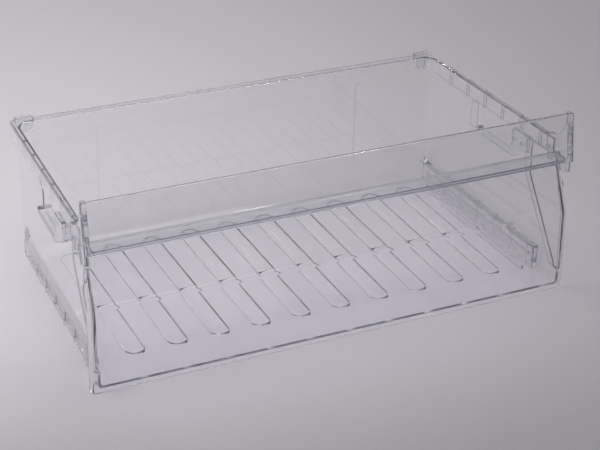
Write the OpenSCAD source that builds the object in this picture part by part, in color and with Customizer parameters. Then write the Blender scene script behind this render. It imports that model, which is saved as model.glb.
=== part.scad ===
// Crisper drawer of clear moulded plastic.
// A tub with a bonded front panel carries a clip-on handle, two slide-on runners,
// two hooked guides and two rear stops.
// Millimetres, +Z up, front towards -Y, origin at the centre of the footprint.
// Depths called "v" are measured backwards from the drawer's front plane.

/* [Overall] */
// Width across the front panel
drawer_w = 470; // [430:1:540]
// Depth from the front plane to the back of the rim
drawer_d = 256; // [236:1:320]
// Height of the tub's rim above the ground
rim_z = 146; // [138:1:180]

/* [Tub] */
// Thickness of the walls
wall_t = 2.2; // [1.8:0.1:3]
// Thickness of the floor
floor_t = 2.5; // [2:0.1:3.5]
// Space under the front part of the floor
floor_gap = 4.5; // [3:0.5:6]
// How much each side closes in from front to back
side_taper = 9.5; // [4:0.5:16]
// How far the front panel stands out beyond the rim on each side
front_reveal = 1.5; // [1.3:0.1:4]
// Outside radius of the wall at the rear corners
corner_r = 12; // [8:1:20]
// Inside radius between the floor and the back wall
heel_r = 14; // [8:1:22]
// Depth of the cross step in the floor
step_v = 120.5; // [100:0.5:150]
// Height of the cross step in the floor
step_h = 2.5; // [1:0.1:4]

/* [Rim] */
// Overhang of the rim on the sides
rim_side = 4; // [3.8:0.1:6]
// Overhang of the rim at the back
rim_back = 9; // [8:0.1:12]
// Thickness of the rim's top
rim_t = 2.2; // [1.6:0.1:3]
// Outside radius of the rim at the rear corners
rim_corner_r = 6; // [3:0.5:10]
// Thickness of the skirt that hangs from the rim
skirt_t = 1.6; // [1.2:0.1:2]
// Height of the skirt, with the rim's top
skirt_h = 17; // [14:0.5:22]
// Height of the skirt along the back, with the rim's top
back_skirt_h = 6; // [4:0.5:10]
// Spacing of the webs inside the rim
web_pitch = 31; // [24:1:44]
// Thickness of the webs inside the rim
web_t = 1.6; // [1.2:0.1:2.5]

/* [Floor ribs] */
// Spacing of the floor ribs
rib_pitch = 40.2; // [32:0.2:50]
// Width of a floor rib
rib_w = 19; // [12:0.5:24]
// Height of a floor rib
rib_h = 1.4; // [0.8:0.1:2.5]
// Depth of the round front ends of the ribs
rib_v = 38; // [34:1:54]
// Least room between the outer ribs and the runner channels
rib_margin = 12; // [6:1:20]
// Room between the rear ends of the ribs and the round of the back wall
rib_back_gap = 3; // [1:0.5:10]

/* [Wall features] */
// Step by which the front of each side wall stands out
flare = 1.6; // [1:0.1:1.8]
// Width of the slanted step, where the wall is thicker
flare_w = 8.5; // [5:0.5:12]
// Depth of the slanted step's lower end
flare_low_v = 17; // [14:0.5:22]
// Height of the slanted step's lower end
flare_low_z = 20; // [16:1:28]
// Depth of the slanted step's upper end
flare_top_v = 70.5; // [60:0.5:76]
// Height of the slanted step's upper end
flare_top_z = 97; // [80:1:104]
// Width of the upright pads on the side and back walls
pad_w = 11; // [6:0.5:14]
// How far the pads stand out of a wall
pad_t = 0.8; // [0.5:0.1:1.5]
// Height of the lower end of the pads on the side walls
side_pad_z = 103; // [96:1:112]
// Distance of the pads on the back wall from the middle
pad_x = 138; // [100:1:170]
// Height of the lower end of the pads on the back wall
pad_z = 38; // [32:1:70]

/* [Runners] */
// Depth of the front end of the runner channel
channel_v = 35; // [30:0.5:44]
// Height of the ledge over the runner channel
channel_z = 30; // [27:0.5:36]
// Depth of the runner channel into the tub's side
channel_in = 6; // [6:0.1:8]
// Clearance round a runner
runner_clear = 0.3; // [0.2:0.05:0.5]
// Height of a runner
runner_h = 17.2; // [14:0.1:19]
// Spacing of the pockets along a runner, and of the ribs below it
pocket_pitch = 31; // [24:0.5:40]
// Thickness of the webs between the pockets
pocket_web = 3; // [2:0.1:5]
// Depth of the pockets
pocket_depth = 2.2; // [1.5:0.1:2.4]
// Thickness of a runner below and above its pockets
pocket_edge = 2; // [1.6:0.1:2.4]
// Width of the dovetail tongue at its tip
tongue_w = 3.8; // [3.2:0.1:4]
// Depth of the dovetail tongue
tongue_t = 1.6; // [1.2:0.1:1.7]
// Taper of the dovetail tongue on each flank
tongue_flare = 0.5; // [0.3:0.1:0.7]
// Thickness of the upright ribs below a runner
channel_rib_t = 1.4; // [1.2:0.1:2]
// Width of the skids under the floor
skid_w = 3; // [2:0.1:5]
// Distance of the skids from the runner channel
skid_in = 2; // [1:0.5:8]

/* [Guides] */
// Length of the guide's upright web
guide_web_l = 25; // [24:1:32]
// Length of the tongue behind the web
guide_tongue_l = 58; // [40:1:62]
// Height of a guide
guide_h = 30; // [26:0.5:34]
// Slope of the web's lower edge, from the tongue up to the front
guide_slope_h = 12.5; // [8:0.5:16]
// Height of the guide's tongue
guide_tongue_h = 5; // [4:0.5:8]
// Height of the catch on the tongue's rear end
guide_catch_h = 3; // [1:0.5:5]
// Radius of the crook between the web and the tongue
guide_crook_r = 6; // [4:0.5:10]
// Thickness of a guide
guide_t = 6.2; // [4:0.1:6.4]
// Clearance between a guide and the tub
guide_clear = 0.2; // [0.1:0.05:0.5]
// Diameter of the pegs that hold a guide
peg_d = 5; // [4:0.1:6]
// Distance between the two pegs of a guide
peg_gap = 13; // [10:0.5:16]
// Clearance of a peg in its hole, on the diameter
peg_clear = 0.3; // [0.1:0.05:0.6]

/* [Front panel] */
// Thickness of the front panel, measured along v
panel_t = 3.2; // [2.4:0.1:4]
// How far the foot of the panel runs back under the drawer
panel_foot_v = 1; // [0.5:0.5:4]
// Height at which the foot starts to run back
panel_foot_z = 10; // [8:0.5:14]
// How far the bend in the panel stands back from the front plane
panel_bend_v = 3; // [1:0.5:5]
// Height of the bend in the panel
panel_bend_z = 80; // [60:1:95]
// How far the top of the panel stands back from the front plane
panel_top_v = 26; // [23:0.5:28]
// Distance of the panel's top below the rim
panel_drop = 12; // [10:0.5:14]
// Thickness of the ledge behind the handle
ledge_t = 2.6; // [2:0.1:3.4]
// Rise of the ledge towards the back
ledge_rise = 1.2; // [0:0.1:2]
// Thickness of the flanges round the ends of the panel
flange_t = 3; // [2:0.1:3]
// Depth of the flanges round the ends of the panel
flange_d = 10.2; // [8:0.1:12]
// Distance of the top of the flanges below the panel's top
flange_drop = 24; // [20:1:40]
// Size of the slanted edges at the ends of the panel
panel_edge = 4; // [1:0.5:4]

/* [Handle] */
// Distance of the band's lower edge below the rim
band_drop = 16; // [14:0.5:20]
// How far the band's lower edge stands back from the front plane
band_set = 4; // [0:0.5:5]
// Height of the band
band_h = 46.6; // [44:0.2:60]
// Thickness of the band, measured along v
band_t = 4; // [3.2:0.1:4.4]
// How far the band's top leans back
band_lean = 7.6; // [4:0.2:9]
// Width of an end cap
cap_w = 5.5; // [5:0.1:7]
// Depth of the rear end of an end cap
cap_v = 43; // [42:0.5:47]
// Radius of the hollow curve of an end cap
cap_r = 26; // [22:0.5:27]
// How far an end cap reaches down beside the finger recess
lobe_h = 13; // [8:0.5:18]
// Clearance between the handle and the rest
handle_clear = 0.4; // [0.3:0.05:0.8]
// Diameter of the pins under the end caps
pin_d = 3.7; // [3:0.1:4]
// Length of the pins under the end caps
pin_l = 12; // [8:0.5:15]
// Clearance of a pin in its socket, on the diameter
pin_clear = 0.3; // [0.1:0.05:0.5]
// Diameter of the pegs between the end caps and the band
band_peg_d = 3; // [2:0.1:3.4]
// Length of the pegs between the end caps and the band
band_peg_l = 2.2; // [1.5:0.1:2.4]

/* [Rear stops] */
// Width of a rear stop
stop_w = 16; // [12:0.5:20]
// Height of a rear stop below the rim's top
stop_h = 12; // [8:0.5:16]
// Height of a rear stop's head above the rim
stop_head_h = 3; // [2:0.1:5]
// How far a rear stop's head stands over its slot
stop_lip = 1.2; // [0.8:0.1:1.3]
// Wall of a rear stop
stop_wall = 1.4; // [1:0.1:1.8]
// Distance of a rear stop from the side of the rim
stop_inset = 5; // [4:0.5:12]
// Clearance between a rear stop and its slot
stop_clear = 0.3; // [0.2:0.05:0.4]

/* [Hidden] */
$fn = 48;
clear_plastic = [0.82, 0.85, 0.92, 0.55];
// Overrun that lets a cut pass cleanly through a face
over = 1;
arc_steps = 10;

front_y = -drawer_d / 2;
front_half = drawer_w / 2;
rim_half = front_half - front_reveal;
taper_a = atan(side_taper / drawer_d);

floor_z = floor_gap + floor_t;
wall_back_v = drawer_d - rim_back;
inner_back_v = wall_back_v - wall_t;
wall_in = rim_side + wall_t;
channel_face = rim_side + channel_in;
skirt_z = rim_z - skirt_h;
back_half = half_at(drawer_d, rim_corner_r + skirt_t);

panel_top_z = rim_z - panel_drop;
band_z = rim_z - band_drop;
band_top_z = band_z + band_h;
ledge_half = front_half - cap_w - handle_clear - over;
band_back_v = band_set + band_t;
ledge_front_v = band_v(panel_top_z) + band_t + handle_clear;
cap_half = front_half - cap_w;
cap_foot_z = panel_top_z + handle_clear;
cap_curve_z = rim_z - handle_clear + cap_r;
pin_x = front_half - cap_w / 2;
pin_v = (panel_top_v + panel_t + cap_v) / 2;
socket_d = pin_d + pin_clear;
socket_wall = 1.3;
socket_base = 3;
rim_front_v = cap_v + handle_clear;
lobe_z = band_z - lobe_h;
lobe_chamfer = 3;

runner_v = channel_v + wall_t + runner_clear;
runner_end_v = wall_back_v - corner_r / 2;
runner_l = runner_end_v - runner_v;
runner_top_z = channel_z - wall_t - runner_clear;
runner_z = runner_top_z - runner_h;
runner_out = rim_side + runner_clear;
tongue_z = runner_z + runner_h / 2;
tongue_front_gap = 6;
tongue_rear_gap = 8;
tongue_v = runner_v + tongue_front_gap;
tongue_end_v = runner_end_v - tongue_rear_gap;
pocket_count = floor((runner_l - pocket_web) / pocket_pitch);
pocket_v = runner_v + (runner_l - pocket_count * pocket_pitch + pocket_web) / 2;
skid_x = channel_face + wall_t + skid_in;
skid_v = runner_v + tongue_front_gap;
skid_end_v = wall_back_v - heel_r - wall_t - tongue_front_gap;

guide_v = flare_top_v + 2 * guide_clear;
guide_top_z = skirt_z - 2 * guide_clear;
guide_z = guide_top_z - guide_h;
guide_end_v = guide_v + guide_web_l + guide_tongue_l;
guide_catch_l = 6;
peg_z = (guide_top_z + guide_z + guide_slope_h) / 2;
peg_v = guide_v + guide_web_l / 2;

rib_end_v = inner_back_v - heel_r - rib_back_gap;
rib_room = half_at(rib_end_v, channel_face + wall_t) - rib_margin - rib_w / 2;
rib_count = 2 * floor(rib_room / rib_pitch + 0.5);

stop_front_v = wall_back_v + 2 * stop_clear;
stop_back_v = drawer_d - skirt_t - 2 * stop_clear;
stop_x = half_at(drawer_d, stop_inset) - stop_w / 2;

// Half width of the tub's outline at depth v, set in from the rim by inset
function half_at(v, inset) = rim_half - inset / cos(taper_a) - v * tan(taper_a);

// Depth of the panel's outer face at height z
function panel_v(z) =
    z < panel_foot_z
        ? panel_foot_v * (1 - z / panel_foot_z)
        : z < panel_bend_z
            ? panel_bend_v * (z - panel_foot_z) / (panel_bend_z - panel_foot_z)
            : panel_bend_v + (panel_top_v - panel_bend_v) * (z - panel_bend_z) / (panel_top_z - panel_bend_z);

// Depth of the band's outer face at height z
function band_v(z) = band_set + band_lean * (z - band_z) / band_h;

// Points of an arc about c from angle a0 to a1
function arc(c, r, a0, a1) =
    [for (i = [0:arc_steps]) c + r * [cos(a0 + (a1 - a0) * i / arc_steps), sin(a0 + (a1 - a0) * i / arc_steps)]];

// Right half of the tapered outline, with a round rear corner
function half_outline(side_in, back_in, r) =
    let (centre_v = drawer_d - back_in - r)
    concat(
        [[half_at(0, side_in), 0]],
        arc([half_at(centre_v, side_in + r), centre_v], r, taper_a, 90)
    );

// Tapered outline seen from above, as (x, v) points
function outline(side_in, back_in, r) =
    let (right = half_outline(side_in, back_in, r))
    concat(right, [for (i = [len(right) - 1:-1:0]) [-right[i][0], right[i][1]]]);

// Prism over the tapered outline between two heights
module plan_prism(side_in, back_in, r, z0, z1) {
    translate([0, front_y, z0])
        linear_extrude(z1 - z0)
            polygon(outline(side_in, back_in, r));
}

// Prism along X over (v, z) points
module cross_prism(points, x0, x1) {
    translate([x0, front_y, 0])
        rotate([90, 0, 90])
            linear_extrude(x1 - x0)
                polygon(points);
}

// Frame of the right side: X is out of the rim, Y runs back along it
module on_right() {
    translate([rim_half, front_y, 0])
        rotate([0, 0, taper_a])
            children();
}

module mirrored() {
    mirror([1, 0, 0])
        children();
}

module on_both() {
    on_right()
        children();
    mirrored()
        on_right()
            children();
}

module both_sides() {
    children();
    mirrored()
        children();
}

// Prism along a side over (x, z) points, from depth v0 to v1
module along_prism(points, v0, v1) {
    translate([0, v1, 0])
        rotate([90, 0, 0])
            linear_extrude(v1 - v0)
                polygon(points);
}

// Side view of the room in front of and on the front panel
module front_room() {
    cross_prism(
        [
            [-drawer_d, -over],
            [panel_v(0) + panel_t, -over],
            [panel_v(0) + panel_t, 0],
            [panel_v(panel_foot_z) + panel_t, panel_foot_z],
            [panel_v(panel_bend_z) + panel_t, panel_bend_z],
            [panel_v(panel_top_z) + panel_t, panel_top_z],
            [panel_v(panel_top_z) + panel_t, rim_z + over],
            [-drawer_d, rim_z + over]
        ],
        -drawer_w, drawer_w
    );
}

// Side view of the tub's body, solid, with its stepped floor and round heel
module tub_side(floor_level, back_v, r, top_z, step_shift) {
    cross_prism(
        concat(
            [
                [0, top_z],
                [0, floor_level],
                [step_v + step_shift, floor_level],
                [step_v + step_shift, floor_level + step_h]
            ],
            arc([back_v - r, floor_level + step_h + r], r, -90, 0),
            [[back_v, top_z]]
        ),
        -drawer_w, drawer_w
    );
}

// Room for a runner under the ledge, grown by a wall for the tub's inside
module channel_room(grow) {
    on_both()
        translate([-channel_face - grow, channel_v + wall_t - grow, -over])
            cube([drawer_w, 2 * drawer_d, channel_z - wall_t + grow + over]);
}

module tub_shell() {
    difference() {
        intersection() {
            plan_prism(rim_side, rim_back, corner_r, floor_gap, rim_z);
            tub_side(floor_gap, wall_back_v, heel_r + wall_t, rim_z, floor_t);
        }
        channel_room(0);
        difference() {
            intersection() {
                plan_prism(wall_in, rim_back + wall_t, corner_r - wall_t, floor_gap, rim_z + over);
                tub_side(floor_z, inner_back_v, heel_r, rim_z + over, 0);
            }
            channel_room(wall_t);
        }
    }
}

// Webs between the skirt and the side walls
module rim_webs() {
    on_both()
        for (v = [rim_front_v + web_pitch / 4:web_pitch:wall_back_v - corner_r])
            translate([-rim_side - wall_t / 2, v, skirt_z])
                cube([rim_side + wall_t / 2 - skirt_t / 2, web_t, skirt_h - rim_t / 2]);
}

module rim() {
    difference() {
        union() {
            difference() {
                plan_prism(0, 0, rim_corner_r, skirt_z, rim_z);
                plan_prism(skirt_t, skirt_t, rim_corner_r - skirt_t, skirt_z - over, rim_z - rim_t);
                plan_prism(wall_in, rim_back + wall_t, corner_r - wall_t, skirt_z - over, rim_z + over);
            }
            rim_webs();
        }
        translate([-drawer_w, front_y - over, 0])
            cube([2 * drawer_w, rim_front_v + over, 2 * rim_z]);
        translate([-back_half, front_y + drawer_d - skirt_t - over, skirt_z - over])
            cube([2 * back_half, skirt_t + 2 * over, skirt_h - back_skirt_h + over]);
        both_sides()
            translate([
                stop_x - stop_w / 2 - stop_clear,
                front_y + stop_front_v - stop_clear,
                rim_z - rim_t - over
            ])
                cube([stop_w + 2 * stop_clear, stop_back_v - stop_front_v + 2 * stop_clear, rim_t + 2 * over]);
    }
}

// One floor rib with a round front end, in two levels across the step
module floor_rib(x) {
    translate([x, front_y + rib_v + rib_w / 2, floor_z - floor_t / 2]) {
        cylinder(d = rib_w, h = rib_h + floor_t / 2);
        translate([-rib_w / 2, 0, 0])
            cube([rib_w, step_v - rib_v - rib_w / 2 + over, rib_h + floor_t / 2]);
    }
    translate([x - rib_w / 2, front_y + step_v, floor_z])
        cube([rib_w, rib_end_v - step_v, step_h + rib_h]);
}

module floor_ribs() {
    for (i = [0:rib_count - 1])
        floor_rib((i - (rib_count - 1) / 2) * rib_pitch);
}

// Front part of a side wall, ahead of the slanted step moved forward by shift
module flare_zone(shift, x0, x1) {
    on_both()
        translate([x0, 0, 0])
            rotate([90, 0, 90])
                linear_extrude(x1 - x0)
                    polygon([
                        [-drawer_d, flare_low_z],
                        [flare_low_v - shift, flare_low_z],
                        [flare_top_v - shift, flare_top_z],
                        [flare_top_v - shift, skirt_z],
                        [-drawer_d, skirt_z]
                    ]);
}

// Upright pads on the outside of the walls
module wall_pads() {
    on_both()
        translate([-rim_side - wall_t / 2, guide_end_v + guide_clear, side_pad_z])
            cube([wall_t / 2 + pad_t, pad_w, skirt_z - side_pad_z + over]);
    both_sides()
        translate([pad_x - pad_w / 2, front_y + wall_back_v - wall_t / 2, pad_z])
            cube([pad_w, wall_t / 2 + pad_t, skirt_z - pad_z + over]);
}

// Dovetail tongues that carry the runners
module runner_tongues() {
    tip = tongue_w / 2;
    root = tip - tongue_flare;
    on_both()
        along_prism(
            [
                [-channel_face - wall_t / 2, tongue_z - root],
                [-channel_face, tongue_z - root],
                [-channel_face + tongue_t, tongue_z - tip],
                [-channel_face + tongue_t, tongue_z + tip],
                [-channel_face, tongue_z + root],
                [-channel_face - wall_t / 2, tongue_z + root]
            ],
            tongue_v, tongue_end_v
        );
}

// Upright ribs on the channel's outer face, below the runner
module channel_ribs() {
    low_z = floor_gap + step_h;
    on_both()
        for (v = [pocket_v - pocket_web:pocket_pitch:skid_end_v])
            translate([-channel_face - wall_t / 2, v, low_z])
                cube([
                    channel_face + wall_t / 2 - runner_out,
                    channel_rib_t,
                    runner_z - 2 * runner_clear - low_z
                ]);
}

// Skids under the floor, on which the drawer rests
module skids() {
    on_both() {
        translate([-skid_x - skid_w, skid_v, 0])
            cube([skid_w, skid_end_v - skid_v, floor_gap + floor_t / 2]);
        translate([-skid_x - skid_w, step_v + floor_t, 0])
            cube([skid_w, skid_end_v - step_v - floor_t, floor_gap + step_h + floor_t / 2]);
    }
}

// Sockets beside the front end of the rim, for the pins of the handle
module handle_sockets() {
    size_v = socket_d + 2 * socket_wall;
    size_z = pin_l + socket_base;
    inner_x = half_at(pin_v, rim_side) - wall_t / 2;
    both_sides()
        translate([inner_x, front_y + pin_v - size_v / 2, panel_top_z - size_z])
            cube([front_half - inner_x, size_v, size_z]);
}

module handle_socket_bores() {
    both_sides()
        translate([pin_x, front_y + pin_v, panel_top_z - pin_l - handle_clear])
            cylinder(d = socket_d, h = pin_l + handle_clear + over);
}

module guide_holes() {
    on_both()
        for (dv = [-peg_gap / 2, peg_gap / 2])
            translate([-wall_in - over, peg_v + dv, peg_z])
                rotate([0, 90, 0])
                    cylinder(d = peg_d + peg_clear, h = wall_t + 2 * over);
}

module tub() {
    color(clear_plastic)
        difference() {
            union() {
                tub_shell();
                flare_zone(0, -rim_side - wall_t / 2, -rim_side + flare);
                rim();
                floor_ribs();
                wall_pads();
                runner_tongues();
                channel_ribs();
                skids();
                handle_sockets();
            }
            flare_zone(flare_w, -wall_in - over, -wall_in + flare);
            front_room();
            handle_socket_bores();
            guide_holes();
        }
}

// Cut of a given size along the right end of the panel, for its straight stretch from z0 to z1
module panel_edge_cut(size, z0, z1) {
    cut = 5 * panel_edge;
    lean = atan((panel_v(z1) - panel_v(z0)) / (z1 - z0));
    translate([front_half, front_y + panel_v(z0), z0])
        rotate([-lean, 0, 0])
            rotate([0, 0, 45])
                translate([-cut, -cut, -cut])
                    cube([2 * cut, cut + size / sqrt(2), (z1 - z0) / cos(lean) + 2 * cut]);
}

// Bent sheet of the panel with the flanges round its ends
module panel_sheet() {
    flange_z = panel_top_z - flange_drop;
    cross_prism(
        [
            [panel_v(0), 0],
            [panel_v(0) + panel_t, 0],
            [panel_v(panel_foot_z) + panel_t, panel_foot_z],
            [panel_v(panel_bend_z) + panel_t, panel_bend_z],
            [panel_v(panel_top_z) + panel_t, panel_top_z],
            [panel_v(panel_top_z), panel_top_z],
            [panel_v(panel_bend_z), panel_bend_z],
            [panel_v(panel_foot_z), panel_foot_z]
        ],
        -front_half, front_half
    );
    both_sides()
        cross_prism(
            [
                [panel_v(0), 0],
                [flange_d, 0],
                [flange_d, panel_foot_z],
                [panel_v(panel_bend_z) + flange_d, panel_bend_z],
                [panel_v(flange_z) + flange_d, flange_z],
                [panel_v(flange_z), flange_z],
                [panel_v(panel_bend_z), panel_bend_z],
                [panel_v(panel_foot_z), panel_foot_z]
            ],
            front_half - flange_t, front_half
        );
}

module front_panel() {
    color(clear_plastic) {
        difference() {
            panel_sheet();
            both_sides() {
                panel_edge_cut(0.8 * panel_edge, 0, panel_foot_z);
                panel_edge_cut(panel_edge, panel_foot_z, panel_bend_z);
                panel_edge_cut(0.8 * panel_edge, panel_bend_z, panel_top_z);
            }
        }
        cross_prism(
            [
                [ledge_front_v, panel_top_z - ledge_rise - ledge_t],
                [panel_top_v + panel_t / 2, panel_top_z - ledge_t],
                [panel_top_v + panel_t / 2, panel_top_z],
                [ledge_front_v, panel_top_z - ledge_rise]
            ],
            -ledge_half, ledge_half
        );
    }
}

// Heights of the pegs between the band and an end cap
function band_peg_heights() = [band_z + band_h / 4, band_z + 3 * band_h / 4];

// Pegs that point forward out of an end cap, or their holes in the band
module band_pegs(d, length) {
    for (z = band_peg_heights())
        translate([pin_x, front_y + band_v(z) + band_t + over, z])
            rotate([90, 0, 0])
                cylinder(d = d, h = length + over);
}

module handle_band() {
    color(clear_plastic)
        difference() {
            cross_prism(
                [
                    [band_set, band_z],
                    [band_back_v, band_z],
                    [band_back_v + band_lean, band_top_z],
                    [band_set + band_lean, band_top_z]
                ],
                -front_half, front_half
            );
            both_sides()
                band_pegs(band_peg_d + pin_clear, band_peg_l + pin_clear);
        }
}

// Right end cap: hollow-curved gusset, lobe beside the finger recess, pin and pegs
module right_cap() {
    lobe_back = panel_v(lobe_z) - 2 * handle_clear;
    difference() {
        cross_prism(
            [
                [band_back_v, band_z],
                [band_back_v, lobe_z + lobe_chamfer],
                [band_back_v + lobe_chamfer, lobe_z],
                [lobe_back, lobe_z],
                [panel_v(panel_top_z) - 2 * handle_clear, panel_top_z],
                [panel_v(panel_top_z) - 2 * handle_clear, cap_foot_z],
                [cap_v, cap_foot_z],
                [cap_v, band_top_z],
                [band_back_v + band_lean, band_top_z]
            ],
            cap_half, front_half
        );
        translate([cap_half - over, front_y + cap_v, cap_curve_z])
            rotate([0, 90, 0])
                cylinder(r = cap_r, h = cap_w + 2 * over, $fn = 96);
        translate([cap_half - over, front_y + cap_v - cap_r, cap_curve_z])
            cube([cap_w + 2 * over, 2 * cap_r, band_h]);
    }
    translate([pin_x, front_y + pin_v, cap_foot_z - pin_l])
        cylinder(d = pin_d, h = pin_l + over);
    band_pegs(band_peg_d, band_peg_l);
}

module right_end_cap() {
    color(clear_plastic)
        right_cap();
}

module left_end_cap() {
    color(clear_plastic)
        mirrored()
            right_cap();
}

// Groove for the dovetail tongue, open at the runner's front end
module runner_groove() {
    tip = tongue_w / 2 + runner_clear;
    root = tip - tongue_flare;
    along_prism(
        [
            [-channel_face - over, tongue_z - root],
            [-channel_face, tongue_z - root],
            [-channel_face + tongue_t + runner_clear, tongue_z - tip],
            [-channel_face + tongue_t + runner_clear, tongue_z + tip],
            [-channel_face, tongue_z + root],
            [-channel_face - over, tongue_z + root]
        ],
        runner_v - over, tongue_end_v + runner_clear
    );
}

// Row of pockets in the runner's outer face
module runner_pockets() {
    for (i = [0:pocket_count - 1])
        translate([-runner_out - pocket_depth, pocket_v + i * pocket_pitch, runner_z + pocket_edge])
            cube([pocket_depth + over, pocket_pitch - pocket_web, runner_h - 2 * pocket_edge]);
}

module runner() {
    difference() {
        translate([-channel_face + runner_clear, runner_v, runner_z])
            cube([channel_face - runner_clear - runner_out, runner_l, runner_h]);
        runner_groove();
        runner_pockets();
    }
}

module right_runner() {
    color(clear_plastic)
        on_right()
            runner();
}

module left_runner() {
    color(clear_plastic)
        mirrored()
            on_right()
                runner();
}

// Hooked guide in the frame of the right side
module guide() {
    web_end = guide_v + guide_web_l;
    tongue_top = guide_z + guide_tongue_h;
    face = -rim_side + guide_clear;
    translate([face, 0, 0])
        rotate([90, 0, 90])
            linear_extrude(guide_t)
                polygon(concat(
                    [
                        [guide_v, guide_top_z],
                        [guide_v, guide_z + guide_slope_h],
                        [web_end, guide_z],
                        [guide_end_v, guide_z],
                        [guide_end_v, tongue_top + guide_catch_h],
                        [guide_end_v - guide_catch_l, tongue_top]
                    ],
                    arc([web_end + guide_crook_r, tongue_top + guide_crook_r], guide_crook_r, 270, 180),
                    [[web_end, guide_top_z]]
                ));
    for (dv = [-peg_gap / 2, peg_gap / 2])
        translate([-wall_in, peg_v + dv, peg_z])
            rotate([0, 90, 0])
                cylinder(d = peg_d, h = wall_t + guide_clear + over);
}

module right_guide() {
    color(clear_plastic)
        on_right()
            guide();
}

module left_guide() {
    color(clear_plastic)
        mirrored()
            on_right()
                guide();
}

// Rear stop: hollow plug with a head that rests on the rim
module rear_stop() {
    depth = stop_back_v - stop_front_v;
    head_z = rim_z + stop_clear / 2;
    translate([stop_x - stop_w / 2, front_y + stop_front_v, 0])
        difference() {
            union() {
                translate([0, 0, rim_z - stop_h])
                    cube([stop_w, depth, stop_h + stop_head_h / 2]);
                translate([-stop_lip, -stop_lip, head_z])
                    cube([stop_w + 2 * stop_lip, depth + 2 * stop_lip, stop_head_h]);
            }
            translate([stop_wall, stop_wall, rim_z - stop_h - over])
                cube([stop_w - 2 * stop_wall, depth - 2 * stop_wall, stop_h + over]);
        }
}

module right_rear_stop() {
    color(clear_plastic)
        rear_stop();
}

module left_rear_stop() {
    color(clear_plastic)
        mirrored()
            rear_stop();
}

tub();
front_panel();
handle_band();
left_end_cap();
right_end_cap();
left_runner();
right_runner();
left_guide();
right_guide();
left_rear_stop();
right_rear_stop();
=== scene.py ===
"""Clear moulded crisper drawer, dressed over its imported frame.

Sizes are in millimetres in the frame's axes. Depths called v run backwards from the
drawer's front plane. On a side wall, "out" is measured outwards from the rim's edge and
"run" backwards along it.
"""

import logging
import math
from collections.abc import Callable, Sequence
from dataclasses import dataclass
from enum import Enum
from typing import ClassVar

import bmesh
import bpy
from mathutils import Matrix, Vector


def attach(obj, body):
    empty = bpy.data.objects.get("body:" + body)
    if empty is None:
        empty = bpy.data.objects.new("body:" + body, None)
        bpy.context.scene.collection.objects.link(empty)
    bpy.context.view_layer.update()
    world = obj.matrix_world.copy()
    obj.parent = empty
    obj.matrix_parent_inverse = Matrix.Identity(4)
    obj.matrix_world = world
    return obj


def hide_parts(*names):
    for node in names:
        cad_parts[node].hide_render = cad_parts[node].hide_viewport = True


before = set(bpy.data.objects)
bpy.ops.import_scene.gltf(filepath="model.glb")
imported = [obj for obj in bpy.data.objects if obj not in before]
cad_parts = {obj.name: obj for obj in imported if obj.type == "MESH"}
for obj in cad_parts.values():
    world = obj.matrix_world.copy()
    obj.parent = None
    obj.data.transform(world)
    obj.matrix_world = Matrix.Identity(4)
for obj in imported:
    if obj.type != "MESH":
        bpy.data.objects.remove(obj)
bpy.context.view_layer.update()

LOG = logging.getLogger("crisper_drawer")
MM = 0.001
WELD = 2e-6

# Places well outside the drawer, at which cuts start and end
ACROSS = 300.0
AHEAD = -90.0
BEHIND = 400.0
BESIDE = 60.0
BELOW = -20.0
ABOVE = 190.0

Span = tuple[float, float]
Point2 = tuple[float, float]
Point3 = tuple[float, float, float]
Corner = tuple[float, float, float]
Colour = tuple[float, float, float]
Placer = Callable[[float, float, float], Vector]


class Side(Enum):
    """Side of the drawer, seen from the front."""

    LEFT = -1.0
    RIGHT = 1.0

    @property
    def word(self) -> str:
        """The side's name as the frame spells it."""
        return self.name.lower()


class Joinery(Enum):
    """How one closed mesh is worked into another."""

    ADD = "UNION"
    CUT = "DIFFERENCE"


# Outlines


def spaced(first: float, last: float, steps: int) -> list[float]:
    """Evenly spaced values, both ends included."""
    return [first + (last - first) * i / steps for i in range(steps + 1)]


def quarter(radius: float, steps: int) -> list[Point2]:
    """Quarter round of an edge, as the distances of its points from the edge's two faces."""
    angles = spaced(0.0, math.pi / 2.0, steps)
    return [(radius * (1.0 - math.cos(a)), radius * (1.0 - math.sin(a))) for a in angles]


def corner_arc(
    before: Vector, at: Vector, after: Vector, radius: float, turn: float
) -> list[Point2]:
    """Arc that rounds one corner of a line.

    Args:
        before: Point before the corner.
        at: The corner.
        after: Point after the corner.
        radius: Radius of the round.
        turn: Largest angle between neighbouring points, in degrees.

    Returns:
        Points of the arc, from the first leg to the second.
    """
    first = (before - at).normalized()
    second = (after - at).normalized()
    half = first.angle(second) / 2.0
    centre = at + (first + second).normalized() * (radius / math.sin(half))
    reach = radius / math.tan(half)
    start = at + first * reach - centre
    end = at + second * reach - centre
    a0 = math.atan2(start.y, start.x)
    sweep = (math.atan2(end.y, end.x) - a0 + math.pi) % (2.0 * math.pi) - math.pi
    steps = max(2, math.ceil(abs(math.degrees(sweep)) / turn))
    return [
        (centre.x + radius * math.cos(a), centre.y + radius * math.sin(a))
        for a in spaced(a0, a0 + sweep, steps)
    ]


def rounded(corners: Sequence[Corner], turn: float = 15.0, closed: bool = True) -> list[Point2]:
    """Line through corners, each with its own radius.

    Args:
        corners: (u, v, radius) of each corner.
        turn: Largest angle between neighbouring points of a round, in degrees.
        closed: Whether the line closes on itself.

    Returns:
        Points of the line.
    """
    points: list[Point2] = []
    last = len(corners) - 1
    for i, (u, v, radius) in enumerate(corners):
        if radius <= 0.0 or (not closed and i in (0, last)):
            points.append((u, v))
            continue
        before = Vector(corners[i - 1][:2])
        after = Vector(corners[(i + 1) % len(corners)][:2])
        points += corner_arc(before, Vector((u, v)), after, radius, turn)
    return points


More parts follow.
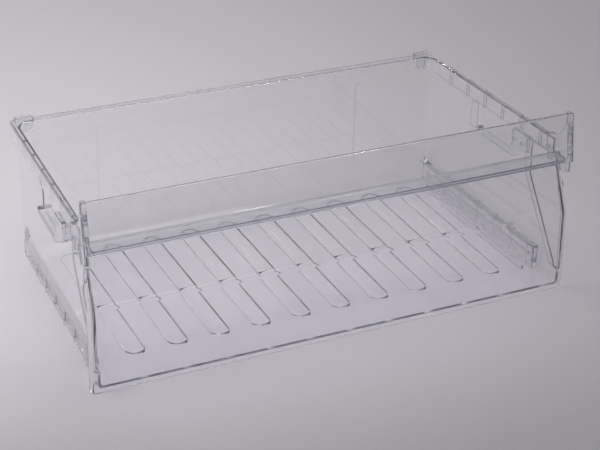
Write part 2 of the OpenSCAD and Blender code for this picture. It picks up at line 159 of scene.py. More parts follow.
def inset(points: Sequence[Point2], amount: float) -> list[Point2]:
    """Closed outline moved inwards by an amount, or outwards where it is negative.

    Args:
        points: Points of the outline.
        amount: How far it moves.

    Returns:
        Points of the moved outline.
    """
    area = sum(a[0] * b[1] - b[0] * a[1] for a, b in zip(points, [*points[1:], points[0]]))
    turn = amount if area > 0 else -amount
    moved: list[Point2] = []
    for i, point in enumerate(points):
        at = Vector(point)
        e0 = (at - Vector(points[i - 1])).normalized()
        e1 = (Vector(points[(i + 1) % len(points)]) - at).normalized()
        n0 = Vector((-e0.y, e0.x))
        n1 = Vector((-e1.y, e1.x))
        out = at + (n0 + n1) * (turn / max(1.0 + n0.dot(n1), 0.25))
        moved.append((out.x, out.y))
    return moved


def round_in(rise: float, radius: float) -> float:
    """How far a rounded foot of that radius lies inside its wall at a height above the ground."""
    if rise >= radius:
        return 0.0
    return radius - math.sqrt(max(0.0, radius**2 - (radius - rise) ** 2))


def smooth(value: float, low: float, high: float) -> float:
    """Soft step from 0 at the low value to 1 at the high one."""
    t = min(1.0, max(0.0, (value - low) / (high - low)))
    return t * t * (3.0 - 2.0 * t)


def normals(line: Sequence[Point2]) -> list[Vector]:
    """Offsets to the right of an open line, of length one and longer at its corners.

    Args:
        line: Points of the line.

    Returns:
        One offset for each point.
    """
    steps = [(Vector(b) - Vector(a)).normalized() for a, b in zip(line, line[1:])]
    result = []
    for before, after in zip([steps[0], *steps], [*steps, steps[-1]]):
        n0 = Vector((before.y, -before.x))
        n1 = Vector((after.y, -after.x))
        result.append((n0 + n1) / (1.0 + n0.dot(n1)))
    return result


def circle(u: float, v: float, diameter: float, steps: int = 32) -> list[Point2]:
    """Closed round outline about (u, v).

    Args:
        u: First place of the centre.
        v: Second place of the centre.
        diameter: Diameter of the circle.
        steps: Number of points.

    Returns:
        Points of the outline.
    """
    return [
        (u + diameter / 2.0 * math.cos(a), v + diameter / 2.0 * math.sin(a))
        for a in spaced(0.0, 2.0 * math.pi, steps)[:-1]
    ]


def box(u0: float, v0: float, u1: float, v1: float, radius: float = 0.0) -> list[Point2]:
    """Closed rectangular outline with corners of one radius."""
    return rounded([(u0, v0, radius), (u1, v0, radius), (u1, v1, radius), (u0, v1, radius)])


# Meshes


def solid(name: str, rings: Sequence[Sequence[Vector]]) -> bpy.types.Object:
    """Closed mesh through rings of equal length, with a face over each end.

    Args:
        name: Name of the object.
        rings: Rings of points in millimetres.

    Returns:
        The object, at the origin, with its faces outwards.
    """
    work = bmesh.new()
    levels = [[work.verts.new(point * MM) for point in ring] for ring in rings]
    count = len(levels[0])
    for low, high in zip(levels, levels[1:]):
        for i in range(count):
            j = (i + 1) % count
            work.faces.new((low[i], low[j], high[j], high[i]))
    work.faces.new(levels[0])
    work.faces.new(levels[-1])
    bmesh.ops.recalc_face_normals(work, faces=work.faces)
    mesh = bpy.data.meshes.new(name)
    work.to_mesh(mesh)
    work.free()
    piece = bpy.data.objects.new(name, mesh)
    bpy.context.scene.collection.objects.link(piece)
    return piece


def profiled(
    name: str, outline: Sequence[Point2], profile: Sequence[Point2], place: Placer
) -> bpy.types.Object:
    """Closed mesh over an outline that swells and shrinks with its height.

    Args:
        name: Name of the object.
        outline: Closed outline as (u, v) points.
        profile: (inset, height) of each level.
        place: Puts (u, v, height) into the frame.

    Returns:
        The object.
    """
    rings = [[place(u, v, w) for u, v in inset(outline, amount)] for amount, w in profile]
    return solid(name, rings)


def pillow(
    name: str,
    outline: Sequence[Point2],
    low: float,
    high: float,
    place: Placer,
    ends: Span = (0.0, 0.0),
) -> bpy.types.Object:
    """Prism over an outline, with rounded edges round its two ends.

    Args:
        name: Name of the object.
        outline: Closed outline as (u, v) points.
        low: Height of the first end.
        high: Height of the second end.
        place: Puts (u, v, height) into the frame.
        ends: Radius of the edges round the first and the second end.

    Returns:
        The object.
    """
    profile: list[Point2] = []
    for radius, at, sign in ((ends[0], low, 1.0), (ends[1], high, -1.0)):
        arc = quarter(radius, 4) if radius > 0.0 else [(0.0, 0.0)]
        level = [(left, at + sign * rise) for rise, left in arc]
        profile += level if sign > 0.0 else level[::-1]
    return profiled(name, outline, profile, place)


def flatten(piece: bpy.types.Object) -> bpy.types.Object:
    """Turns a piece with its modifiers into a plain mesh.

    Args:
        piece: The piece.

    Returns:
        The piece.
    """
    graph = bpy.context.evaluated_depsgraph_get()
    mesh = bpy.data.meshes.new_from_object(piece.evaluated_get(graph), depsgraph=graph)
    old = piece.data
    piece.modifiers.clear()
    piece.data = mesh
    bpy.data.meshes.remove(old)
    return piece


def work_in(
    base: bpy.types.Object, parts: Sequence[bpy.types.Object], how: Joinery
) -> bpy.types.Object:
    """Works parts into a base and removes them.

    Args:
        base: The mesh that is changed.
        parts: Closed meshes to add or cut.
        how: Whether they are added or cut.

    Returns:
        The base.
    """
    for part in parts:
        modifier = base.modifiers.new(part.name, "BOOLEAN")
        modifier.operation = how.value
        modifier.solver = "EXACT"
        modifier.object = part
    bpy.context.view_layer.update()
    flatten(base)
    for part in parts:
        mesh = part.data
        bpy.data.objects.remove(part)
        bpy.data.meshes.remove(mesh)
    return base


def row_tree() -> bpy.types.NodeTree:
    """Geometry Nodes tree that repeats its input along a straight row.

    Returns:
        The tree, with the inputs Geometry, Count, Step and Finish.
    """
    found = bpy.data.node_groups.get("row_of_features")
    if found:
        return found
    tree = bpy.data.node_groups.new("row_of_features", "GeometryNodeTree")
    sockets = tree.interface
    for label, kind in (
        ("Geometry", "NodeSocketGeometry"),
        ("Count", "NodeSocketInt"),
        ("Step", "NodeSocketVector"),
        ("Finish", "NodeSocketMaterial"),
    ):
        sockets.new_socket(label, in_out="INPUT", socket_type=kind)
    sockets.new_socket("Geometry", in_out="OUTPUT", socket_type="NodeSocketGeometry")
    first = tree.nodes.new("NodeGroupInput")
    line = tree.nodes.new("GeometryNodeMeshLine")
    line.mode = "OFFSET"
    repeat = tree.nodes.new("GeometryNodeInstanceOnPoints")
    real = tree.nodes.new("GeometryNodeRealizeInstances")
    paint = tree.nodes.new("GeometryNodeSetMaterial")
    last = tree.nodes.new("NodeGroupOutput")
    for source, target in (
        (first.outputs["Count"], line.inputs["Count"]),
        (first.outputs["Step"], line.inputs["Offset"]),
        (line.outputs["Mesh"], repeat.inputs["Points"]),
        (first.outputs["Geometry"], repeat.inputs["Instance"]),
        (repeat.outputs["Instances"], real.inputs["Geometry"]),
        (real.outputs["Geometry"], paint.inputs["Geometry"]),
        (first.outputs["Finish"], paint.inputs["Material"]),
        (paint.outputs["Geometry"], last.inputs["Geometry"]),
    ):
        tree.links.new(source, target)
    return tree


def row_of(
    piece: bpy.types.Object, count: int, step: Vector, finish: bpy.types.Material
) -> bpy.types.Object:
    """Repeats a mesh in a straight row, as one plain mesh.

    Args:
        piece: The first of the row.
        count: How many there are.
        step: Way from one to the next, in millimetres.
        finish: Material of the row.

    Returns:
        The piece, with the whole row in its mesh.
    """
    tree = row_tree()
    modifier = piece.modifiers.new("row", "NODES")
    modifier.node_group = tree
    values = {"Count": count, "Step": step * MM, "Finish": finish}
    for socket in tree.interface.items_tree:
        if socket.in_out == "INPUT" and socket.name in values:
            modifier[socket.identifier] = values[socket.name]
    return flatten(piece)


def polish(piece: bpy.types.Object, crease: float = 34.0) -> bpy.types.Object:
    """Cleans a worked mesh, shades its rounds smooth and keeps its flat faces flat.

    Args:
        piece: The piece.
        crease: Angle in degrees from which an edge stays sharp.

    Returns:
        The piece.
    """
    work = bmesh.new()
    work.from_mesh(piece.data)
    bmesh.ops.remove_doubles(work, verts=work.verts, dist=WELD)
    bmesh.ops.dissolve_degenerate(work, edges=work.edges, dist=WELD)
    open_edges = sum(1 for edge in work.edges if not edge.is_manifold)
    work.to_mesh(piece.data)
    work.free()
    if open_edges:
        LOG.warning("%s has %d open edges", piece.name, open_edges)
    piece.data.shade_smooth()
    piece.data.set_sharp_from_angle(angle=math.radians(crease))
    modifier = piece.modifiers.new("flat_faces", "WEIGHTED_NORMAL")
    modifier.mode = "FACE_AREA"
    modifier.weight = 100
    modifier.keep_sharp = True
    return flatten(piece)


# Finishes


def fill(node: bpy.types.Node, values: dict[str, object]) -> None:
    """Sets the named inputs of a node."""
    for label, value in values.items():
        node.inputs[label].default_value = value


@dataclass(frozen=True)
class ClearFinish:
    """Clear moulded plastic with a faint tint, a breath of haze and the fine marks of use."""

    slot: str
    tint: Colour = (0.982, 0.983, 0.99)
    refraction: float = 1.57
    gloss: Span = (0.012, 0.05)
    haze: Span = (0.008, 0.024)
    haze_colour: Colour = (0.88, 0.87, 0.90)
    rub_marks: tuple[float, float, float] = (38.0, 6.0, 0.62)
    rub_span: Span = (0.42, 0.78)
    flow_marks: tuple[float, float] = (9.0, 1.0)
    ripple: float = 0.02
    ripple_depth: float = 0.002
    shade: Colour = (0.94, 0.935, 0.95)
    depth_colour: Colour = (0.40, 0.43, 0.58)
    depth_density: float = 10.0

    def material(self) -> bpy.types.Material:
        """Builds the node material.

        Returns:
            A material that refracts, scatters a little and lets softened light through.
        """
        made = bpy.data.materials.new(self.slot)
        made.use_nodes = True
        tree = made.node_tree
        plastic = tree.nodes["Principled BSDF"]
        fill(plastic, {"Base Color": (*self.tint, 1.0), "IOR": self.refraction})
        fill(plastic, {"Transmission Weight": 1.0})
        where = tree.nodes.new("ShaderNodeTexCoord")
        rubs = tree.nodes.new("ShaderNodeTexNoise")
        fill(rubs, dict(zip(("Scale", "Detail", "Roughness"), self.rub_marks)))
        flow = tree.nodes.new("ShaderNodeTexNoise")
        fill(flow, dict(zip(("Scale", "Detail"), self.flow_marks)))
        bump = tree.nodes.new("ShaderNodeBump")
        fill(bump, {"Strength": self.ripple, "Distance": self.ripple_depth})
        tree.links.new(where.outputs["Object"], rubs.inputs["Vector"])
        tree.links.new(where.outputs["Object"], flow.inputs["Vector"])
        tree.links.new(flow.outputs["Fac"], bump.inputs["Height"])
        tree.links.new(bump.outputs["Normal"], plastic.inputs["Normal"])
        tree.links.new(self.spread(tree, rubs, self.gloss), plastic.inputs["Roughness"])
        scatter = tree.nodes.new("ShaderNodeBsdfDiffuse")
        fill(scatter, {"Color": (*self.haze_colour, 1.0)})
        passing = tree.nodes.new("ShaderNodeBsdfTransparent")
        fill(passing, {"Color": (*self.shade, 1.0)})
        rays = tree.nodes.new("ShaderNodeLightPath")
        hazing = self.spread(tree, rubs, self.haze)
        hazed = self.blend(tree, hazing, plastic.outputs["BSDF"], scatter.outputs["BSDF"])
        either = self.blend(tree, rays.outputs["Is Shadow Ray"], hazed, passing.outputs["BSDF"])
        ends = tree.nodes["Material Output"].inputs
        tree.links.new(either, ends["Surface"])
        depth = tree.nodes.new("ShaderNodeVolumeAbsorption")
        fill(depth, {"Color": (*self.depth_colour, 1.0), "Density": self.depth_density})
        tree.links.new(depth.outputs["Volume"], ends["Volume"])
        return made

    def spread(
        self, tree: bpy.types.NodeTree, rubs: bpy.types.Node, span: Span
    ) -> bpy.types.NodeSocket:
        """Maps the rub marks to a span of values.

        Args:
            tree: Node tree of the material.
            rubs: Node that draws the rub marks.
            span: Values where there are no marks and where they are strongest.

        Returns:
            Output with the mapped value.
        """
        node = tree.nodes.new("ShaderNodeMapRange")
        fill(node, dict(zip(("From Min", "From Max", "To Min", "To Max"), self.rub_span + span)))
        tree.links.new(rubs.outputs["Fac"], node.inputs["Value"])
        return node.outputs["Result"]

    @staticmethod
    def blend(
        tree: bpy.types.NodeTree,
        share: bpy.types.NodeSocket,
        first: bpy.types.NodeSocket,
        second: bpy.types.NodeSocket,
    ) -> bpy.types.NodeSocket:
        """Mixes two shaders by a share of the second.

        Args:
            tree: Node tree of the material.
            share: Share of the second shader.
            first: First shader.
            second: Second shader.

        Returns:
            Output with the mixed shader.
        """
        node = tree.nodes.new("ShaderNodeMixShader")
        tree.links.new(share, node.inputs["Fac"])
        tree.links.new(first, node.inputs[1])
        tree.links.new(second, node.inputs[2])
        return node.outputs["Shader"]


@dataclass(frozen=True)
class FloorFinish:
    """Pale matt board under the drawer."""

    colour: Colour = (0.81, 0.77, 0.82)
    roughness: float = 0.55

    def material(self) -> bpy.types.Material:
        """Builds the node material.

        Returns:
            A plain matt material.
        """
        made = bpy.data.materials.new("pale_board")
        made.use_nodes = True
        board = made.node_tree.nodes["Principled BSDF"]
        fill(board, {"Base Color": (*self.colour, 1.0), "Roughness": self.roughness})
        return made


# Sizes that the pieces share


@dataclass(frozen=True)
class DrawerPlan:
    """Outline of the drawer and the places that its pieces share."""

    width: float = 470.0
    depth: float = 256.0
    rim_z: float = 146.0
    side_taper: float = 9.5
    reveal: float = 1.5
    wall: float = 2.2
    rim_side: float = 4.0
    rim_back: float = 9.0
    skirt_h: float = 17.0
    panel_t: float = 2.7
    panel_foot: Point2 = (1.0, 0.0)
    panel_heel: Corner = (0.0, 10.0, 7.0)
    panel_bend: Corner = (3.0, 80.0, 12.0)
    panel_top: Point2 = (26.0, 134.0)
    band_set: float = 4.0
    band_t: float = 4.0
    band_z: float = 130.0
    band_h: float = 46.6
    band_lean: float = 7.6
    cap_w: float = 5.5
    pin_v: float = 36.1
    pin_l: float = 12.0
    channel_z: float = 30.0
    channel_in: float = 6.0
    pocket_pitch: float = 31.0
    runner_v: float = 37.5
    runner_end_v: float = 241.0
    runner_h: float = 17.2
    runner_clear: float = 0.3
    tongue_w: float = 3.8
    tongue_t: float = 1.6
    tongue_flare: float = 0.5
    tongue_gaps: Span = (6.0, 8.0)
    guide_v: float = 70.9
    guide_web: float = 25.0
    guide_top_z: float = 128.6
    guide_h: float = 30.0
    guide_slope: float = 12.5
    peg_d: float = 5.0
    peg_gap: float = 13.0
    stop_w: float = 16.0
    stop_clear: float = 0.3
    stop_in: float = 5.0
    stop_gaps: Span = (0.6, 2.2)

    @property
    def half(self) -> float:
        """Half of the drawer's width."""
        return self.width / 2.0

    @property
    def rim_half(self) -> float:
        """Half of the rim's width at the front plane."""
        return self.half - self.reveal

    @property
    def taper(self) -> float:
        """Angle by which each side closes in, in radians."""
        return math.atan(self.side_taper / self.depth)

    @property
    def skirt_z(self) -> float:
        """Height of the lower edge of the rim's skirt."""
        return self.rim_z - self.skirt_h

    @property
    def runner_z(self) -> float:
        """Height of a runner's sole."""
        return self.channel_z - self.wall - self.runner_clear - self.runner_h

    @property
    def tongue_z(self) -> float:
        """Height of the middle of the dovetail tongues."""
        return self.runner_z + self.runner_h / 2.0

    @property
    def tongue_run(self) -> Point2:
        """Where the dovetail tongues start and end."""
        front, rear = self.tongue_gaps
        return (self.runner_v + front, self.runner_end_v - rear)

    @property
    def channel_out(self) -> float:
        """Place of the runner channel's face, out of the rim."""
        return -self.rim_side - self.channel_in

    @property
    def pin_x(self) -> float:
        """Distance of the handle's pins from the middle."""
        return self.half - self.cap_w / 2.0

    @property
    def band_pegs(self) -> list[float]:
        """Heights of the pegs between the band and an end cap."""
        return [self.band_z + self.band_h / 4.0, self.band_z + 3.0 * self.band_h / 4.0]

    @property
    def peg_z(self) -> float:
        """Height of the guides' pegs."""
        return self.guide_top_z + (self.guide_slope - self.guide_h) / 2.0

    @property
    def peg_runs(self) -> list[float]:
        """Places of a guide's two pegs along the side."""
        middle = self.guide_v + self.guide_web / 2.0
        return [middle - self.peg_gap / 2.0, middle + self.peg_gap / 2.0]

    @property
    def stop_x(self) -> float:
        """Distance of the rear stops from the middle."""
        return self.half_at(self.depth, self.stop_in) - self.stop_w / 2.0

    @property
    def stop_v(self) -> Point2:
        """Front and back of the rear stops."""
        front, rear = self.stop_gaps
        return (self.depth - self.rim_back + front, self.depth - rear)

    def stop_block(self, side: Side, over: float, radius: float) -> list[Point2]:
        """Level outline of a rear stop's plug.

        Args:
            side: Side of the drawer.
            over: How much larger the outline is all round.
            radius: Radius of its corners.

        Returns:
            Closed outline as (x, v) points.
        """
        x, half = side.value * self.stop_x, self.stop_w / 2.0 + over
        front, back = self.stop_v
        return box(x - half, front - over, x + half, back + over, radius)

    def half_at(self, v: float, inwards: float) -> float:
        """Half width of the tub's outline at a depth, set in from the rim."""
        return self.rim_half - inwards / math.cos(self.taper) - v * math.tan(self.taper)

    def band_back(self, z: float) -> float:
        """Depth of the back of the handle band at a height."""
        return self.band_set + self.band_t + self.band_lean * (z - self.band_z) / self.band_h

    def at(self, x: float, v: float, z: float) -> Vector:
        """Point in the frame."""
        return Vector((x, v - self.depth / 2.0, z))

    def across(self, v: float, z: float, x: float) -> Vector:
        """Point of a shape drawn as (v, z) and drawn out along x."""
        return self.at(x, v, z)

    def backwards(self, x: float, z: float, v: float) -> Vector:
        """Point of a shape drawn as (x, z) and drawn out backwards."""
        return self.at(x, v, z)

    def beside(self, side: Side, out: float, run: float, z: float) -> Vector:
        """Point given out of the rim and along it on one side."""
        c, s = math.cos(self.taper), math.sin(self.taper)
        return self.at(side.value * (self.rim_half + out * c - run * s), out * s + run * c, z)

    def upright(self, side: Side) -> Placer:
        """Placer for shapes drawn as (out, run) and raised in z."""
        return lambda out, run, z: self.beside(side, out, run, z)

    def along(self, side: Side) -> Placer:
        """Placer for shapes drawn as (out, z) and drawn out along the side."""
        return lambda out, z, run: self.beside(side, out, run, z)

    def facing(self, side: Side) -> Placer:
        """Placer for shapes drawn as (run, z) and raised out of the side."""
        return lambda run, z, out: self.beside(side, out, run, z)

    def dovetail(self, gap: float, root_l: float) -> list[Point2]:
        """Cut through a dovetail tongue, or through its groove.

        Args:
            gap: Room left round the tongue.
            root_l: How far the outline reaches behind the channel's face.

        Returns:
            Closed outline as (out, z) points.
        """
        face, mid = self.channel_out, self.tongue_z
        tip = self.tongue_w / 2.0 + gap
        root = tip - self.tongue_flare
        end = face + self.tongue_t + gap
        return rounded([
            (face - root_l, mid - root, 0.0),
            (face, mid - root, 0.0),
            (end, mid - tip, 0.25),
            (end, mid + tip, 0.25),
            (face, mid + root, 0.0),
            (face - root_l, mid + root, 0.0),
        ], 30.0)

    def panel_line(self, offset: float) -> list[Point2]:
        """Side view of the front panel without its ledge, moved backwards by an offset.

        Args:
            offset: Distance behind the panel's outer face.

        Returns:
            (v, z) points from the foot to the top.
        """
        corners = [(*self.panel_foot, 0.0), self.panel_heel, self.panel_bend, (*self.panel_top, 0.0)]
        line = rounded(corners, 7.0, False)
        return [(v + offset * n.x, z + offset * n.y) for (v, z), n in zip(line, normals(line))]


# Pieces


@dataclass
class Piece:
    """A piece of the drawer that stands for one node of the frame."""

    plan: DrawerPlan
    finish: bpy.types.Material

    node: ClassVar[str] = ""
    body: ClassVar[str] = ""
    slot: ClassVar[str] = ""

    def build(self) -> bpy.types.Object:
        """Makes the piece's mesh."""
        raise NotImplementedError

    def side_row(self, first: bpy.types.Object, count: int, side: Side) -> bpy.types.Object:
        """Row of a shape backwards along a side, at the pitch of the runners' pockets."""
        start, end = (self.plan.beside(side, 0.0, run, 0.0) for run in (0.0, self.plan.pocket_pitch))
        return row_of(first, count, end - start, self.finish)

    def dress(self, piece: bpy.types.Object) -> bpy.types.Object:
        """Gives a built mesh its finish and its place in the frame.

        Args:
            piece: The built mesh.

        Returns:
            The piece, riding on its body.
        """
        polish(piece)
        piece.data.materials.clear()
        piece.data.materials.append(self.finish)
        piece.data.polygons.foreach_set("material_index", [0] * len(piece.data.polygons))
        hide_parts(self.node)
        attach(piece, self.body)
        LOG.info("%s: %d faces, rides on %s", piece.name, len(piece.data.polygons), self.body)
        return piece


@dataclass
class Tub(Piece):
    """Floor, walls and hanging rim of the drawer, one moulding."""

    floor_gap: float = 4.5
    floor_t: float = 2.5
    corner_r: float = 12.0
    foot_r: float = 4.0
    heel_r: float = 14.0
    step_v: float = 120.5
    step_h: float = 2.5
    ramp_l: float = 6.0
    under_shift: float = 1.9
    rim_t: float = 2.2
    rim_r: float = 6.0
    rim_front_v: float = 43.4
    skirt_t: float = 1.6
    back_skirt_h: float = 6.0
    web_t: float = 1.6
    lip_r: float = 1.2
    mouth_r: float = 2.0
    rib_pitch: float = 40.2
    rib_count: int = 10
    rib_w: float = 19.0
    rib_h: float = 1.38
    core_h: float = 1.75
    rib_v: float = 38.0
    flare: float = 1.6
    flare_w: float = 8.5
    flare_low: Point2 = (17.0, 20.0)
    flare_top: Point2 = (70.5, 97.0)
    flare_start: float = -60.0
    pad_w: float = 11.0
    pad_t: float = 0.8
    pad_x: float = 138.0
    pad_z: float = 38.0
    pad_r: float = 3.6
    side_pad: Point2 = (154.1, 103.0)
    front_v: float = -8.0
    channel_v: float = 35.0
    channel_rib_v: float = 44.75
    channel_rib_t: float = 1.4
    channel_rib_count: int = 6
    socket_l: float = 6.6
    bore_d: float = 4.0
    peg_clear: float = 0.3
    skid_out: float = -14.2
    skid_w: float = 3.0
    skid_run: Span = (43.5, 224.8)

    node = "tub"
    body = "tub"
    slot = "clear_tub"

    @property
    def floor_z(self) -> float:
        """Height of the front part of the floor."""
        return self.floor_gap + self.floor_t

    @property
    def back_v(self) -> float:
        """Depth of the back wall's outer face."""
        return self.plan.depth - self.plan.rim_back

    def ring(self, z: float, side_in: float, back_in: float, radius: float) -> list[Vector]:
        """Level outline of the tub, open to the front beyond the panel.

        Args:
            z: Height of the ring.
            side_in: Distance from the rim's edge on the sides.
            back_in: Distance from the rim's edge at the back.
            radius: Radius of the rear corners.

        Returns:
            Points of the ring.
        """
        plan = self.plan
        centre_v = plan.depth - back_in - radius
        centre_x = plan.half_at(centre_v, side_in + radius)
        right = [(plan.half_at(self.front_v, side_in), self.front_v)]
        right += [
            (centre_x + radius * math.cos(a), centre_v + radius * math.sin(a))
            for a in spaced(plan.taper, math.pi / 2.0, 14)
        ]
        left = [(-x, v) for x, v in reversed(right)]
        return [plan.at(x, v, z) for x, v in right + left]

    def shell(
        self,
        name: str,
        foot_z: float,
        wall_in: float,
        sizes: tuple[float, float, float],
        top: list[Point2],
    ) -> bpy.types.Object:
        """Lofted block with a rounded foot at the sides and a larger round at the back.

        Args:
            name: Name of the block.
            foot_z: Height of its underside. The round at the back starts one floor step higher.
            wall_in: Distance of its walls inside the outer wall.
            sizes: Radius at the foot of the sides, at the foot of the back and of the rear corners.
            top: (inset, height) of the levels at the top.

        Returns:
            The block.
        """
        plan = self.plan
        foot_r, heel_r, corner_r = sizes
        heel_z = foot_z + self.step_h
        heights = {foot_z + rise for rise, _ in quarter(foot_r, 5)}
        heights |= {heel_z + rise for rise, _ in quarter(heel_r, 12)}
        levels = [(0.0, z) for z in sorted(heights)]
        rings = []
        for extra, z in levels + top:
            side = extra + round_in(z - foot_z, foot_r)
            back = extra + round_in(max(0.0, z - heel_z), heel_r)
            side_in, back_in = plan.rim_side + wall_in + side, plan.rim_back + wall_in + back
            rings.append(self.ring(z, side_in, back_in, max(2.0, corner_r - side)))
        return solid(name, rings)

    def ramp(self, shift: float, level: float) -> list[Point2]:
        """Soft step of the floor as (v, z) points, moved back by a shift, from a level upwards.

        Args:
            shift: How far the step is moved back.
            level: Height of its foot.

        Returns:
            Points from the foot to the top.
        """
        start = self.step_v + shift - self.ramp_l / 2.0
        points = [
            (start + self.ramp_l * t, level + self.step_h * smooth(t, 0.0, 1.0))
            for t in spaced(0.0, 1.0, 10)
        ]
        return [(start - 0.4, level - 0.05), *points[1:]]

    def outside(self) -> bpy.types.Object:
        """Solid block of the tub, with its underside stepped and its runner channels cut.

        Returns:
            The block, with its mouth still closed.
        """
        plan = self.plan
        top = [(0.0, plan.rim_z - 0.9), (0.2, plan.rim_z - 0.3), (0.6, plan.rim_z - 0.02)]
        sizes = (self.foot_r, self.heel_r + plan.wall, self.corner_r)
        block = self.shell("tub_piece", self.floor_gap, 0.0, sizes, top)
        under = self.stepped(self.floor_gap, self.under_shift)
        cuts = [pillow("under_step", under, -ACROSS, ACROSS, plan.across)]
        room = self.side_room(plan.channel_out, plan.channel_z - plan.wall, 0.8)
        start = self.channel_v + plan.wall
        for side in Side:
            cuts.append(pillow("channel", room, start, BEHIND, plan.along(side), (0.6, 0.0)))
        return work_in(block, cuts, Joinery.CUT)

    def stepped(self, level: float, shift: float) -> list[Point2]:
        """Side view of all that lies below a stepped surface behind the step, as (v, z) points."""
        high = level + self.step_h
        ground = [(self.step_v - 4.0, BELOW), (BEHIND, BELOW), (BEHIND, high)]
        return [*ground, *self.ramp(shift, level)[::-1]]

    @staticmethod
    def side_room(face: float, top: float, radius: float) -> list[Point2]:
        """All that lies outside a face and below a top, as (out, z) points."""
        return rounded([(face, BELOW, 0.0), (BESIDE, BELOW, 0.0), (BESIDE, top, 0.0), (face, top, radius)])

    def rim(self) -> bpy.types.Object:
        """Flat rim with its hanging skirt, still closed over the tub's mouth.

        Returns:
            The rim.
        """
        plan = self.plan
        levels = [(0.5, plan.skirt_z), (0.12, plan.skirt_z + 0.2), (0.0, plan.skirt_z + 0.6)]
        levels += [(inwards, plan.rim_z - below) for inwards, below in quarter(self.lip_r, 4)]
        cover = solid("rim", [self.ring(z, d, d, self.rim_r - d) for d, z in levels])
        under = plan.rim_z - self.rim_t
        skirt = self.skirt_t
        levels = [(skirt, plan.skirt_z - 4.0), (skirt, under - 1.0)]
        levels += [(skirt + 0.3, under - 0.3), (skirt + 1.0, under)]
        hollow = solid("rim_hollow", [self.ring(z, d, d, self.rim_r - d) for d, z in levels])
        outline = box(AHEAD, 90.0, self.rim_front_v, ABOVE)
        ahead = pillow("rim_front", outline, -ACROSS, ACROSS, plan.across)
        half = plan.half_at(plan.depth, self.rim_r + skirt)
        outline = box(-half, plan.depth - skirt - 1.0, half, plan.depth + 6.0)
        low, high = plan.skirt_z - 6.0, plan.rim_z - self.back_skirt_h
        behind = pillow("back_skirt", outline, low, high, plan.at)
        return work_in(cover, [hollow, ahead, behind], Joinery.CUT)

    def flare_zone(self, side: Side, shift: float, low: float, high: float) -> bpy.types.Object:
        """Front part of a side wall, which stands out beyond a slanted step.

        Args:
            side: Side of the drawer.
            shift: How far the step is moved forwards.
            low: Where the zone starts, out of the rim.
            high: Where it ends, out of the rim.

        Returns:
            The zone as a closed mesh.
        """
        top_v, top_z = self.flare_top[0] - shift, self.plan.skirt_z + 0.5
        outline = rounded([
            (self.flare_start, self.flare_low[1], 0.0),
            (self.flare_low[0] - shift, self.flare_low[1], 0.0),
            (top_v, self.flare_top[1], 18.0),
            (top_v, top_z, 0.0),
            (self.flare_start, top_z, 0.0),
        ])
        return pillow("flare", outline, low, high, self.plan.facing(side), (0.0, 1.2))

    @property
    def web_row(self) -> tuple[float, int]:
        """Place of the first web along a side, and the number of webs there."""
        pitch = self.plan.pocket_pitch
        first = self.rim_front_v + pitch / 4.0
        return first, math.floor((self.back_v - self.corner_r - first) / pitch) + 1

    def webs(self) -> list[bpy.types.Object]:
        """Rows of webs inside the rim along the sides.

        Returns:
            One row for each side.
        """
        plan = self.plan
        top = plan.rim_z - self.rim_t / 2.0
        first, count = self.web_row
        outline = box(-plan.rim_side - plan.wall / 2.0, first, -self.skirt_t / 2.0, first + self.web_t)
        made = []
        for side in Side:
            web = pillow("side_web", outline, plan.skirt_z + 0.1, top, plan.upright(side), (0.3, 0.0))
            made.append(self.side_row(web, count, side))
        return made

    def sinks(self) -> list[bpy.types.Object]:
        """Rows of small sink marks on the rim over the webs.

        Returns:
            One row for each side.
        """
        plan = self.plan
        dip = [(1.25, -0.42), (0.95, -0.34), (0.55, -0.16), (0.1, 0.12), (0.0, 0.4)]
        levels = [(d, plan.rim_z + z) for d, z in dip]
        first, count = self.web_row
        outline = circle(-2.4, first + self.web_t / 2.0, 3.0, 20)
        made = []
        for side in Side:
            mark = profiled("sink", outline, levels, plan.upright(side))
            made.append(self.side_row(mark, count, side))
        return made

    def pads(self) -> list[bpy.types.Object]:
        """Upright pads on the outside of the side walls, and softer ones on the back wall.

        Returns:
            The pads.
        """
        plan = self.plan
        root = plan.wall / 2.0
        face, top = -plan.rim_side, plan.skirt_z + 1.0
        run, low = self.side_pad
        soft = [(0.0, -root), (0.0, 0.02), (0.9, 0.2), (2.4, 0.6), (3.4, self.pad_t)]
        levels = [(d, self.back_v + h) for d, h in soft]
        half = self.pad_w / 2.0
        made = []
        for side in Side:
            outline = box(run, low, run + self.pad_w, top, 0.6)
            made.append(
                pillow("side_pad", outline, face - root, face + self.pad_t, plan.facing(side), (0.0, 0.5))
            )
            x = side.value * self.pad_x
            outline = box(x - half, self.pad_z, x + half, top, self.pad_r)
            made.append(profiled("back_pad", outline, levels, plan.backwards))
        return made

